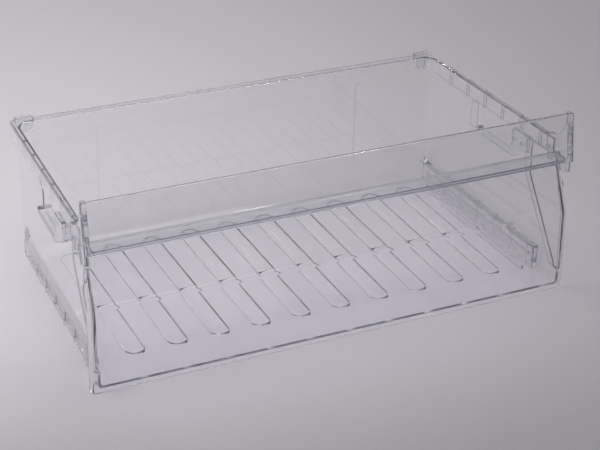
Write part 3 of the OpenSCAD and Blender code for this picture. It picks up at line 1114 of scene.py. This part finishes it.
    def runner_carriers(self, side: Side) -> list[bpy.types.Object]:
        """Dovetail tongue, upright ribs and skid on one side.

        Args:
            side: Side of the drawer.

        Returns:
            The tongue, the row of ribs and the skid.
        """
        plan = self.plan
        face, root = plan.channel_out, plan.wall / 2.0
        tongue = plan.dovetail(0.0, root)
        made = [pillow("tongue", tongue, *plan.tongue_run, plan.along(side), (0.2, 0.2))]
        low, high = self.floor_gap + self.step_h, plan.runner_z - 2.0 * plan.runner_clear
        first, last = self.channel_rib_v, self.channel_rib_v + self.channel_rib_t
        outline = box(face - root, first, -plan.rim_side - plan.runner_clear, last, 0.4)
        rib = pillow("channel_rib", outline, low, high, plan.upright(side), (0.25, 0.25))
        made.append(self.side_row(rib, self.channel_rib_count, side))
        start, end = self.skid_run
        step_v = self.step_v + self.floor_t + 1.5
        low = self.floor_z - self.floor_t / 2.0
        skid = rounded([
            (start, 0.0, 1.2),
            (end, 0.0, 1.2),
            (end, low + self.step_h, 0.0),
            (step_v, low + self.step_h, 0.0),
            (step_v, low, 0.0),
            (start, low, 0.0),
        ])
        inner, outer = self.skid_out - self.skid_w, self.skid_out
        made.append(pillow("skid", skid, inner, outer, plan.facing(side), (0.7, 0.7)))
        return made

    def socket(self, side: Side) -> bpy.types.Object:
        """Block beside the front end of the rim that takes a pin of the handle.

        Args:
            side: Side of the drawer.

        Returns:
            The block, without its bore.
        """
        plan = self.plan
        inner = plan.half_at(plan.pin_v, plan.rim_side) - plan.wall / 2.0
        x0, x1 = sorted((side.value * inner, side.value * plan.half))
        outline = box(x0, plan.pin_v - self.socket_l / 2.0, x1, plan.pin_v + self.socket_l / 2.0, 0.9)
        top = plan.panel_top[1]
        return pillow("socket", outline, top - plan.pin_l - 3.0, top, plan.at, (0.8, 0.4))

    def inside(self) -> bpy.types.Object:
        """Room in the tub, with its stepped floor and the ledges over the runner channels.

        Returns:
            The room as a closed mesh.
        """
        plan = self.plan
        top = [(-outwards, plan.rim_z - below) for outwards, below in quarter(self.mouth_r, 6)]
        top.append((-self.mouth_r - 0.01, plan.rim_z + 8.0))
        sizes = (self.foot_r - 1.0, self.heel_r, self.corner_r - plan.wall)
        room = self.shell("inside", self.floor_z, plan.wall, sizes, top)
        wall = -plan.rim_side - plan.wall
        front = [self.flare_zone(side, self.flare_w, wall - 3.0, wall + self.flare) for side in Side]
        work_in(room, front, Joinery.ADD)
        step = self.stepped(self.floor_z, 0.0)
        blocks = [pillow("step", step, -ACROSS, ACROSS, plan.across)]
        ledge = self.side_room(plan.channel_out - plan.wall, plan.channel_z, 1.2)
        for side in Side:
            blocks.append(pillow("ledge", ledge, self.channel_v, BEHIND, plan.along(side), (0.9, 0.0)))
        room = work_in(room, blocks, Joinery.CUT)
        return work_in(room, [self.ledge_heel(side) for side in Side], Joinery.CUT)

    def ledge_heel(self, side: Side) -> bpy.types.Object:
        """Round between a ledge and the back wall.

        Args:
            side: Side of the drawer.

        Returns:
            The round as a closed mesh.
        """
        plan = self.plan
        r, z = self.heel_r, plan.channel_z
        end = self.back_v - plan.wall
        front, back = end - r - 6.0, end + 6.0
        heel = [(back, z - 8.0), (front, z - 8.0), (front, z - 0.06)]
        heel += [
            (end - r + r * math.sin(a), z + r * (1.0 - math.cos(a)))
            for a in spaced(0.05, math.pi / 2.0, 12)
        ]
        heel.append((back, z + r))
        face = plan.channel_out - plan.wall + 0.3
        return pillow("ledge_heel", heel, face, BESIDE, plan.facing(side), (1.4, 0.0))

    def rib_outline(self, run: Point2, level: Sequence[float], square: bool) -> list[Point2]:
        """Outline of the first floor rib at one level.

        Args:
            run: Depths of its front and back.
            level: Its height, then the insets of its right side, its left side and its front.
            square: Whether its front end is square.

        Returns:
            Closed outline as (x, v) points.
        """
        _, before, lean, nose = level
        middle = -(self.rib_count - 1) / 2.0 * self.rib_pitch
        left, right = middle - self.rib_w / 2.0 + lean, middle + self.rib_w / 2.0 - before
        radius = (right - left) / 2.0 - 0.3
        front, back = run[0] + nose, run[1] - before
        tip = 0.0 if square else radius
        corners = [(left, front, tip), (right, front, tip), (right, back, radius), (left, back, radius)]
        return rounded(corners, 10.0)

    def rib_row(
        self, name: str, low: float, levels: Sequence[Sequence[float]], run: Point2
    ) -> bpy.types.Object:
        """Row of equal shapes along the floor.

        Args:
            name: Name of the row.
            low: Height from which the levels are measured.
            levels: Height and insets of each level.
            run: Depths of the front and the back of each shape.

        Returns:
            The row as one mesh.
        """
        square = run[0] > self.rib_v
        rings = [
            [self.plan.at(x, v, low + level[0]) for x, v in self.rib_outline(run, level, square)]
            for level in levels
        ]
        step = Vector((self.rib_pitch, 0.0, 0.0))
        return row_of(solid(name, rings), self.rib_count, step, self.finish)

    def step_in(self, rise: float) -> float:
        """How far behind its start the soft step of the floor has risen by an amount."""
        share = min(1.0, max(0.0, rise / self.step_h))
        return self.ramp_l * (0.5 - math.sin(math.asin(1.0 - 2.0 * share) / 3.0))

    def ribs(self) -> list[bpy.types.Object]:
        """Floor ribs with thin, steep sides. The rear ones rise softly out of the front ones.

        Returns:
            The front row and the rear row.
        """
        rise = [(0.0, 0.0, 0.0), (0.12, 0.12, 0.14), (0.5, 0.22, 0.42), (0.9, 0.32, 0.7)]
        rise += [(1.18, 0.56, 1.1), (1.3, 1.0, 1.6), (self.rib_h, 3.0, 3.6)]
        buried = [(z - self.step_h, 0.05, 0.05) for z in (1.15, self.rib_h, 1.6, 1.9, 2.2)]
        front = [(-0.4, -0.1, -0.1, -0.1), *((z, d, lean, d) for z, d, lean in rise)]
        rear = [(z, d, lean, self.step_in(z + self.step_h - self.rib_h)) for z, d, lean in buried + rise]
        start = self.step_v - self.ramp_l / 2.0
        return [
            self.rib_row("floor_rib", self.floor_z, front, self.front_ribs),
            self.rib_row("floor_rib", self.floor_z + self.step_h, rear, (start, self.rib_end)),
        ]

    @property
    def front_ribs(self) -> Point2:
        """Depths of the front and the back of the front ribs, which end inside the step."""
        return (self.rib_v, self.step_v + 12.0)

    @property
    def rib_end(self) -> float:
        """Depth of the rear ends of the floor ribs."""
        return self.back_v - self.plan.wall - self.heel_r - 3.0

    def rib_cores(self) -> list[bpy.types.Object]:
        """Shallow hollows under the floor ribs, which keep the floor's thickness even.

        Returns:
            The front row and the rear row.
        """
        hollow = [(-1.03, -0.6, 1.5), (-0.75, -0.44, 1.68), (-0.45, -0.28, 1.88), (-0.2, -0.14, 2.04)]
        hollow += [(0.05, 0.0, 2.2), (0.4, 0.36, 3.28), (0.8, 0.77, 4.52), (1.2, 1.19, 5.76)]
        hollow += [(1.6, 1.6, 7.0), (self.core_h, 2.4, 8.4)]
        front = [(z, d, lean, d) for z, d, lean in hollow]
        rear = [(z, d, lean, self.step_in(z + self.step_h - self.core_h)) for z, d, lean in hollow]
        start = self.step_v + self.under_shift - self.ramp_l / 2.0
        return [
            self.rib_row("rib_core", self.floor_gap, front, self.front_ribs),
            self.rib_row("rib_core", self.floor_gap + self.step_h, rear, (start, self.rib_end)),
        ]

    def openings(self) -> list[bpy.types.Object]:
        """Room for the front panel, the handle's pins, the guides' pegs and the rear stops.

        Returns:
            The rooms and holes as closed meshes.
        """
        plan = self.plan
        line = plan.panel_line(plan.panel_t - 0.1)
        foot = Vector(line[0]) + (Vector(line[0]) - Vector(line[1])).normalized() * 6.0
        outline = [(AHEAD, foot.y), tuple(foot), *line, (line[-1][0] + 0.1, ABOVE), (AHEAD, ABOVE)]
        made = [pillow("front_room", outline, -ACROSS, ACROSS, plan.across)]
        top = plan.panel_top[1]
        for side in Side:
            bore = circle(side.value * plan.pin_x, plan.pin_v, self.bore_d)
            made.append(pillow("pin_bore", bore, top - plan.pin_l - 0.4, top + 9.0, plan.at))
            for run in plan.peg_runs:
                hole = circle(run, plan.peg_z, plan.peg_d + self.peg_clear)
                made.append(pillow("peg_hole", hole, -12.0, 6.0, plan.facing(side)))
            slot = plan.stop_block(side, plan.stop_clear, 0.8)
            low = plan.rim_z - self.rim_t - 1.0
            made.append(pillow("stop_slot", slot, low, plan.rim_z + 4.0, plan.at))
        return made

    def build(self) -> bpy.types.Object:
        """Makes the tub: block, rim and features first, then its room, its ribs and its openings.

        Returns:
            The built mesh.
        """
        plan = self.plan
        tub = self.outside()
        extras = [self.rim(), *self.webs(), *self.pads()]
        for side in Side:
            face = -plan.rim_side
            extras.append(self.flare_zone(side, 0.0, face - plan.wall / 2.0, face + self.flare))
            extras.append(self.socket(side))
            extras += self.runner_carriers(side)
        work_in(tub, extras, Joinery.ADD)
        work_in(tub, [self.inside()], Joinery.CUT)
        work_in(tub, self.ribs(), Joinery.ADD)
        return work_in(tub, [*self.rib_cores(), *self.sinks(), *self.openings()], Joinery.CUT)


@dataclass
class FrontPanel(Piece):
    """Bent front panel with flanged ends and a ledge over the finger recess."""

    ledge_front: Point2 = (9.1, 130.2)
    ledge_back: Corner = (24.85, 131.23, 0.3)
    ledge_half: float = 228.1
    ledge_from: float = 120.0
    top_half: float = 230.6
    flange_d: float = 9.0
    flange_t: float = 2.9
    flange_least: float = 0.4
    edge_r: float = 5.0
    narrowing: Span = (92.0, 128.0)
    flange_end: Span = (96.0, 112.0)
    bead: Point2 = (1.5, 1.5)
    bead_half: float = 226.0
    spacing: float = 5.0

    node = "front_panel"
    body = "tub"
    slot = "clear_front"

    def section(self, half: float, flange: float) -> list[Point2]:
        """Level cut through the panel, as (x, depth) points.

        Args:
            half: Half width of the panel there.
            flange: Depth of its flanges there.

        Returns:
            Closed outline of the cut.
        """
        t, wall = self.plan.panel_t, self.flange_t
        tip = min(0.9, (flange - t) * 0.45)
        crook = min(0.4, (flange - t) * 0.45)
        edge = self.edge_r if flange > self.edge_r + 1.0 else min(1.2, t * 0.45)
        return rounded([
            (-half, flange, tip),
            (-half, 0.0, edge),
            (half, 0.0, edge),
            (half, flange, tip),
            (half - wall, flange, tip),
            (half - wall, t, crook),
            (-half + wall, t, crook),
            (-half + wall, flange, tip),
        ], 12.0)

    def stations(self) -> list[Point2]:
        """Side view of the panel and its ledge as closely spaced (v, z) points.

        Returns:
            Points from the foot to the front of the ledge.
        """
        plan = self.plan
        ends = (*plan.panel_foot, 0.0), (*self.ledge_front, 0.0)
        corners = [ends[0], plan.panel_heel, plan.panel_bend, self.ledge_back, ends[1]]
        line = rounded(corners, 7.0, False)
        dense = [line[0]]
        for a, b in zip(line, line[1:]):
            pieces = max(1, math.ceil(math.dist(a, b) / self.spacing))
            dense += [tuple(Vector(a).lerp(Vector(b), i / pieces)) for i in range(1, pieces + 1)]
        return dense

    def build(self) -> bpy.types.Object:
        """Sweeps the panel's cut along its side view.

        Returns:
            The built mesh.
        """
        plan = self.plan
        line = self.stations()
        least = plan.panel_t + self.flange_least
        rings = []
        turned = False
        last = len(line) - 1
        for i, ((v, z), n) in enumerate(zip(line, normals(line))):
            turned = turned or (i > 0 and v < line[i - 1][0] and z > self.ledge_from)
            half = plan.half + (self.top_half - plan.half) * smooth(z, *self.narrowing)
            flange = self.flange_d + (least - self.flange_d) * smooth(z, *self.flange_end)
            cut = self.section(self.ledge_half, least) if turned else self.section(half, flange)
            for amount in ((0.5, 0.15, 0.0) if i == 0 else (0.0, 0.12) if i == last else (0.0,)):
                rings.append([plan.at(x, v + d * n.x, z + d * n.y) for x, d in inset(cut, amount)])
        panel = solid("front_panel_piece", rings)
        v, z, _ = self.ledge_back
        wide, high = self.bead
        outline = box(v - wide - 0.5, z - 1.2, v - 0.5, z + high, 0.45)
        bead = pillow("ledge_bead", outline, -self.bead_half, self.bead_half, plan.across, (0.4, 0.4))
        return work_in(panel, [bead], Joinery.ADD)


@dataclass
class HandleBand(Piece):
    """Leaning band over the finger recess, by which the drawer is pulled."""

    edge_r: float = 1.2
    crown_r: float = 1.85
    peg_d: float = 3.3

    node = "handle_band"
    body = "handle"
    slot = "clear_front"

    def build(self) -> bpy.types.Object:
        """Makes the band with the holes for the end caps' pegs.

        Returns:
            The built mesh.
        """
        plan = self.plan
        top = plan.band_z + plan.band_h
        outline = rounded([
            (plan.band_set, plan.band_z, self.edge_r),
            (plan.band_set + plan.band_t, plan.band_z, self.edge_r),
            (plan.band_back(top), top, self.crown_r),
            (plan.band_back(top) - plan.band_t, top, self.crown_r),
        ])
        band = pillow("handle_band_piece", outline, -plan.half, plan.half, plan.across, (1.2, 1.2))
        holes = []
        for side in Side:
            for z in plan.band_pegs:
                outline, back = circle(side.value * plan.pin_x, z, self.peg_d), plan.band_back(z)
                holes.append(pillow("band_hole", outline, back - 2.5, back + 9.0, plan.backwards, (0.3, 0.0)))
        return work_in(band, holes, Joinery.CUT)


@dataclass
class SidePiece(Piece):
    """A piece of which there is one on each side."""

    side: Side = Side.LEFT

    word: ClassVar[str] = ""

    @property
    def node(self) -> str:
        """Node of the frame that the piece stands for."""
        return f"{self.side.word}_{self.word}"

    @property
    def body(self) -> str:
        """Body that the piece rides on."""
        return self.node


@dataclass
class EndCap(SidePiece):
    """Hollow-curved gusset that closes one end of the handle."""

    back_v: float = 43.0
    curve_r: float = 26.0
    lobe_h: float = 13.0
    foot_gap: float = 0.4
    panel_gap: float = 0.8
    band_gap: float = 0.08
    edge_r: float = 0.5
    pin_d: float = 3.7
    peg_d: float = 3.0

    word = "end_cap"
    body = "handle"
    slot = "clear_front"

    def outline(self) -> list[Point2]:
        """Side view of the cap as (v, z) points.

        Returns:
            Closed outline of the cap.
        """
        plan = self.plan
        top = plan.band_z + plan.band_h
        lobe_z = plan.band_z - self.lobe_h
        foot_z = plan.panel_top[1] + self.foot_gap
        bend_v, bend_z, _ = plan.panel_bend
        slope = (plan.panel_top[0] - bend_v) / (plan.panel_top[1] - bend_z)
        lobe_back = bend_v + slope * (lobe_z - bend_z) - self.panel_gap
        low = plan.rim_z - 0.4
        front = plan.band_back(plan.band_z) + self.band_gap
        lower = rounded([
            (plan.band_back(top) + self.band_gap, top, 0.0),
            (front, plan.band_z, 0.0),
            (front, lobe_z, 3.0),
            (lobe_back, lobe_z, 1.0),
            (plan.panel_top[0] - self.panel_gap, foot_z, 1.0),
            (self.back_v, foot_z, 1.0),
            (self.back_v, low, 0.8),
            (self.back_v - 6.0, low, 0.0),
        ], 15.0, False)
        hollow = [
            (self.back_v + self.curve_r * math.cos(a), low + self.curve_r * (1.0 + math.sin(a)))
            for a in spaced(math.radians(262.0), math.radians(180.0), 20)
        ]
        return [*lower[:-1], *hollow, (self.back_v - self.curve_r, top)]

    def build(self) -> bpy.types.Object:
        """Makes the cap with its pin and its pegs.

        Returns:
            The built mesh.
        """
        plan = self.plan
        x0, x1 = sorted(self.side.value * x for x in (plan.half - plan.cap_w, plan.half))
        ends = (self.edge_r, self.edge_r)
        cap = pillow(f"{self.node}_piece", self.outline(), x0, x1, plan.across, ends)
        x = self.side.value * plan.pin_x
        foot = plan.panel_top[1] + self.foot_gap
        pin = circle(x, plan.pin_v, self.pin_d)
        extras = [pillow("pin", pin, foot - plan.pin_l, foot + 1.5, plan.at, (0.7, 0.0))]
        for z in plan.band_pegs:
            peg, back = circle(x, z, self.peg_d, 24), plan.band_back(z)
            extras.append(pillow("peg", peg, back - 2.2, back + 2.0, plan.backwards, (0.3, 0.0)))
        return work_in(cap, extras, Joinery.ADD)


@dataclass
class Runner(SidePiece):
    """Pocketed slide strip on a dovetail tongue under a ledge."""

    pocket_web: float = 3.0
    pocket_depth: float = 2.2
    pocket_edge: float = 2.0
    edge_r: float = 0.6

    word = "runner"
    slot = "clear_slides"

    def build(self) -> bpy.types.Object:
        """Makes the strip, its groove and its row of pockets.

        Returns:
            The built mesh.
        """
        plan = self.plan
        gap, low, edge = plan.runner_clear, plan.runner_z, self.pocket_edge
        along, face = plan.along(self.side), -plan.rim_side
        start, end = plan.runner_v, plan.runner_end_v
        strip = box(plan.channel_out + gap, low, face - gap, low + plan.runner_h, self.edge_r)
        runner = pillow(f"{self.node}_piece", strip, start, end, along, (0.6, 0.6))
        groove = plan.dovetail(gap, 2.0)
        cuts = [pillow("groove", groove, start - 3.0, plan.tongue_run[1] + gap, along, (0.0, 0.2))]
        pitch, web = plan.pocket_pitch, self.pocket_web
        count = math.floor((end - start - web) / pitch)
        first = start + (end - start - count * pitch + web) / 2.0
        outline = box(first, low + edge, first + pitch - web, low + plan.runner_h - edge, 0.8)
        deep = face - gap - self.pocket_depth
        pocket = pillow("pocket", outline, deep, face + 3.0, plan.facing(self.side), (0.5, 0.0))
        cuts.append(self.side_row(pocket, count, self.side))
        return work_in(runner, cuts, Joinery.CUT)


@dataclass
class Guide(SidePiece):
    """Hooked guide under the rim, pegged into a side wall."""

    tongue_l: float = 58.0
    tongue_h: float = 5.0
    catch: Point2 = (6.0, 3.0)
    crook_r: float = 6.0
    thick: float = 6.2
    wall_gap: float = 0.2

    word = "guide"
    slot = "clear_slides"

    def build(self) -> bpy.types.Object:
        """Makes the hook and its two pegs.

        Returns:
            The built mesh.
        """
        plan = self.plan
        top, low = plan.guide_top_z, plan.guide_top_z - plan.guide_h
        front, web_end = plan.guide_v, plan.guide_v + plan.guide_web
        end = web_end + self.tongue_l
        hook = rounded([
            (front, top, 1.0),
            (front, low + plan.guide_slope, 2.5),
            (web_end, low, 4.0),
            (end, low, 1.5),
            (end, low + self.tongue_h + self.catch[1], 0.8),
            (end - self.catch[0], low + self.tongue_h, 2.0),
            (web_end, low + self.tongue_h, self.crook_r),
            (web_end, top, 1.0),
        ], 12.0)
        face = -plan.rim_side + self.wall_gap
        facing = plan.facing(self.side)
        guide = pillow(f"{self.node}_piece", hook, face, face + self.thick, facing, (0.4, 0.9))
        inner, outer = -plan.rim_side - plan.wall, face + 1.5
        pegs = [
            pillow("guide_peg", circle(run, plan.peg_z, plan.peg_d), inner, outer, facing, (0.4, 0.0))
            for run in plan.peg_runs
        ]
        return work_in(guide, pegs, Joinery.ADD)


@dataclass
class RearStop(SidePiece):
    """Hollow plug in a slot of the rear rim."""

    plug_h: float = 12.0
    head_h: float = 3.0
    head_gap: float = 0.15
    lip: float = 1.2
    wall: float = 1.4

    word = "rear_stop"
    slot = "clear_slides"

    def build(self) -> bpy.types.Object:
        """Makes the plug, its head and its hollow.

        Returns:
            The built mesh.
        """
        plan = self.plan
        top, low = plan.rim_z, plan.rim_z - self.plug_h
        outline = plan.stop_block(self.side, 0.0, 0.8)
        plug = pillow(f"{self.node}_piece", outline, low, top + 1.5, plan.at, (0.4, 0.0))
        outline = plan.stop_block(self.side, self.lip, 1.6)
        over = top + self.head_gap
        head = pillow("stop_head", outline, over, over + self.head_h, plan.at, (0.3, 0.9))
        work_in(plug, [head], Joinery.ADD)
        outline = plan.stop_block(self.side, -self.wall, 0.5)
        hollow = pillow("stop_hollow", outline, low - 3.0, top, plan.at, (0.0, 0.5))
        return work_in(plug, [hollow], Joinery.CUT)


# Studio


@dataclass(frozen=True)
class SoftBox:
    """One soft studio light."""

    name: str
    place: Point3
    aim: Point3
    size: Span
    power: float
    colour: Colour = (1.0, 1.0, 1.0)

    def hang(self) -> None:
        """Puts the light into the scene."""
        light = bpy.data.lights.new(self.name, "AREA")
        light.shape = "RECTANGLE"
        light.size, light.size_y = self.size
        light.energy = self.power
        light.color = self.colour
        made = bpy.data.objects.new(self.name, light)
        way = Vector(self.aim) - Vector(self.place)
        turn = way.to_track_quat("-Z", "Y").to_matrix().to_4x4()
        made.matrix_world = Matrix.Translation(self.place) @ turn
        bpy.context.scene.collection.objects.link(made)


@dataclass(frozen=True)
class Studio:
    """Floor, lights and camera round the drawer, in metres."""

    lens: float = 99.06
    sensor: float = 36.0
    eye: Point3 = (-0.59049, -1.2452, 0.78547)
    right: Point3 = (0.903886, -0.427097, 0.024056)
    down: Point3 = (-0.181427, -0.433676, -0.882615)
    ahead: Point3 = (0.387394, 0.793419, -0.46948)
    floor_size: float = 9.0
    bounces: int = 22
    sky: Colour = (1.0, 0.985, 1.01)
    sky_strength: float = 0.2
    lights: tuple[SoftBox, ...] = (
        SoftBox("key_light", (-0.48, 0.385, 0.733), (-0.391, 1.102, 0.0), (1.4, 1.4), 5.8),
        SoftBox("left_spark", (-1.1, 0.2, 1.1), (0.0, 0.0, 0.0), (0.09, 0.09), 1.3),
        SoftBox("rear_spark", (-0.36, 1.43, 1.1), (0.0, 0.0, 0.1), (0.09, 0.09), 1.5),
        SoftBox("right_spark", (0.62, -0.48, 1.4), (0.0, 0.0, 0.1), (0.09, 0.09), 1.0),
        SoftBox("top_light", (-0.1, -0.6, 1.3), (0.0, 0.0, 0.1), (1.2, 0.35), 0.5),
        SoftBox("back_panel", (1.2, 2.4, 1.4), (0.0, 0.0, 0.1), (3.6, 2.2), 6.0),
    )

    def build(self) -> None:
        """Sets up the camera, the floor and the lights."""
        scene = bpy.context.scene
        camera = bpy.data.objects.new("camera", bpy.data.cameras.new("camera"))
        camera.data.lens = self.lens
        camera.data.sensor_width = self.sensor
        columns = [Vector(self.right), -Vector(self.down), -Vector(self.ahead)]
        turn = Matrix(columns).transposed().to_4x4()
        camera.matrix_world = Matrix.Translation(self.eye) @ turn
        scene.collection.objects.link(camera)
        scene.camera = camera
        scene.view_settings.view_transform = "Standard"
        cycles = scene.cycles
        cycles.max_bounces = cycles.glossy_bounces = self.bounces
        cycles.transmission_bounces = cycles.transparent_max_bounces = self.bounces
        reach = self.floor_size / 2.0
        mesh = bpy.data.meshes.new("floor")
        corners = [(-reach, -reach, 0), (reach, -reach, 0), (reach, reach, 0), (-reach, reach, 0)]
        mesh.from_pydata(corners, [], [(0, 1, 2, 3)])
        floor = bpy.data.objects.new("floor", mesh)
        mesh.materials.append(FloorFinish().material())
        scene.collection.objects.link(floor)
        scene.world = bpy.data.worlds.new("studio")
        scene.world.use_nodes = True
        sky = scene.world.node_tree.nodes["Background"]
        fill(sky, {"Color": (*self.sky, 1.0), "Strength": self.sky_strength})
        for light in self.lights:
            light.hang()


def main() -> None:
    """Builds the studio and every piece of the drawer."""
    logging.basicConfig(level=logging.INFO, format="%(name)s: %(message)s")
    Studio().build()
    plan = DrawerPlan()
    tub = ClearFinish("clear_tub").material()
    front = ClearFinish("clear_front").material()
    slides = ClearFinish("clear_slides", gloss=(0.03, 0.12)).material()
    pieces: list[Piece] = [Tub(plan, tub), FrontPanel(plan, front), HandleBand(plan, front)]
    for side in Side:
        pieces += [
            EndCap(plan, front, side),
            Runner(plan, slides, side),
            Guide(plan, slides, side),
            RearStop(plan, slides, side),
        ]
    for piece in pieces:
        piece.dress(piece.build())


if __name__ == "__main__":
    main()
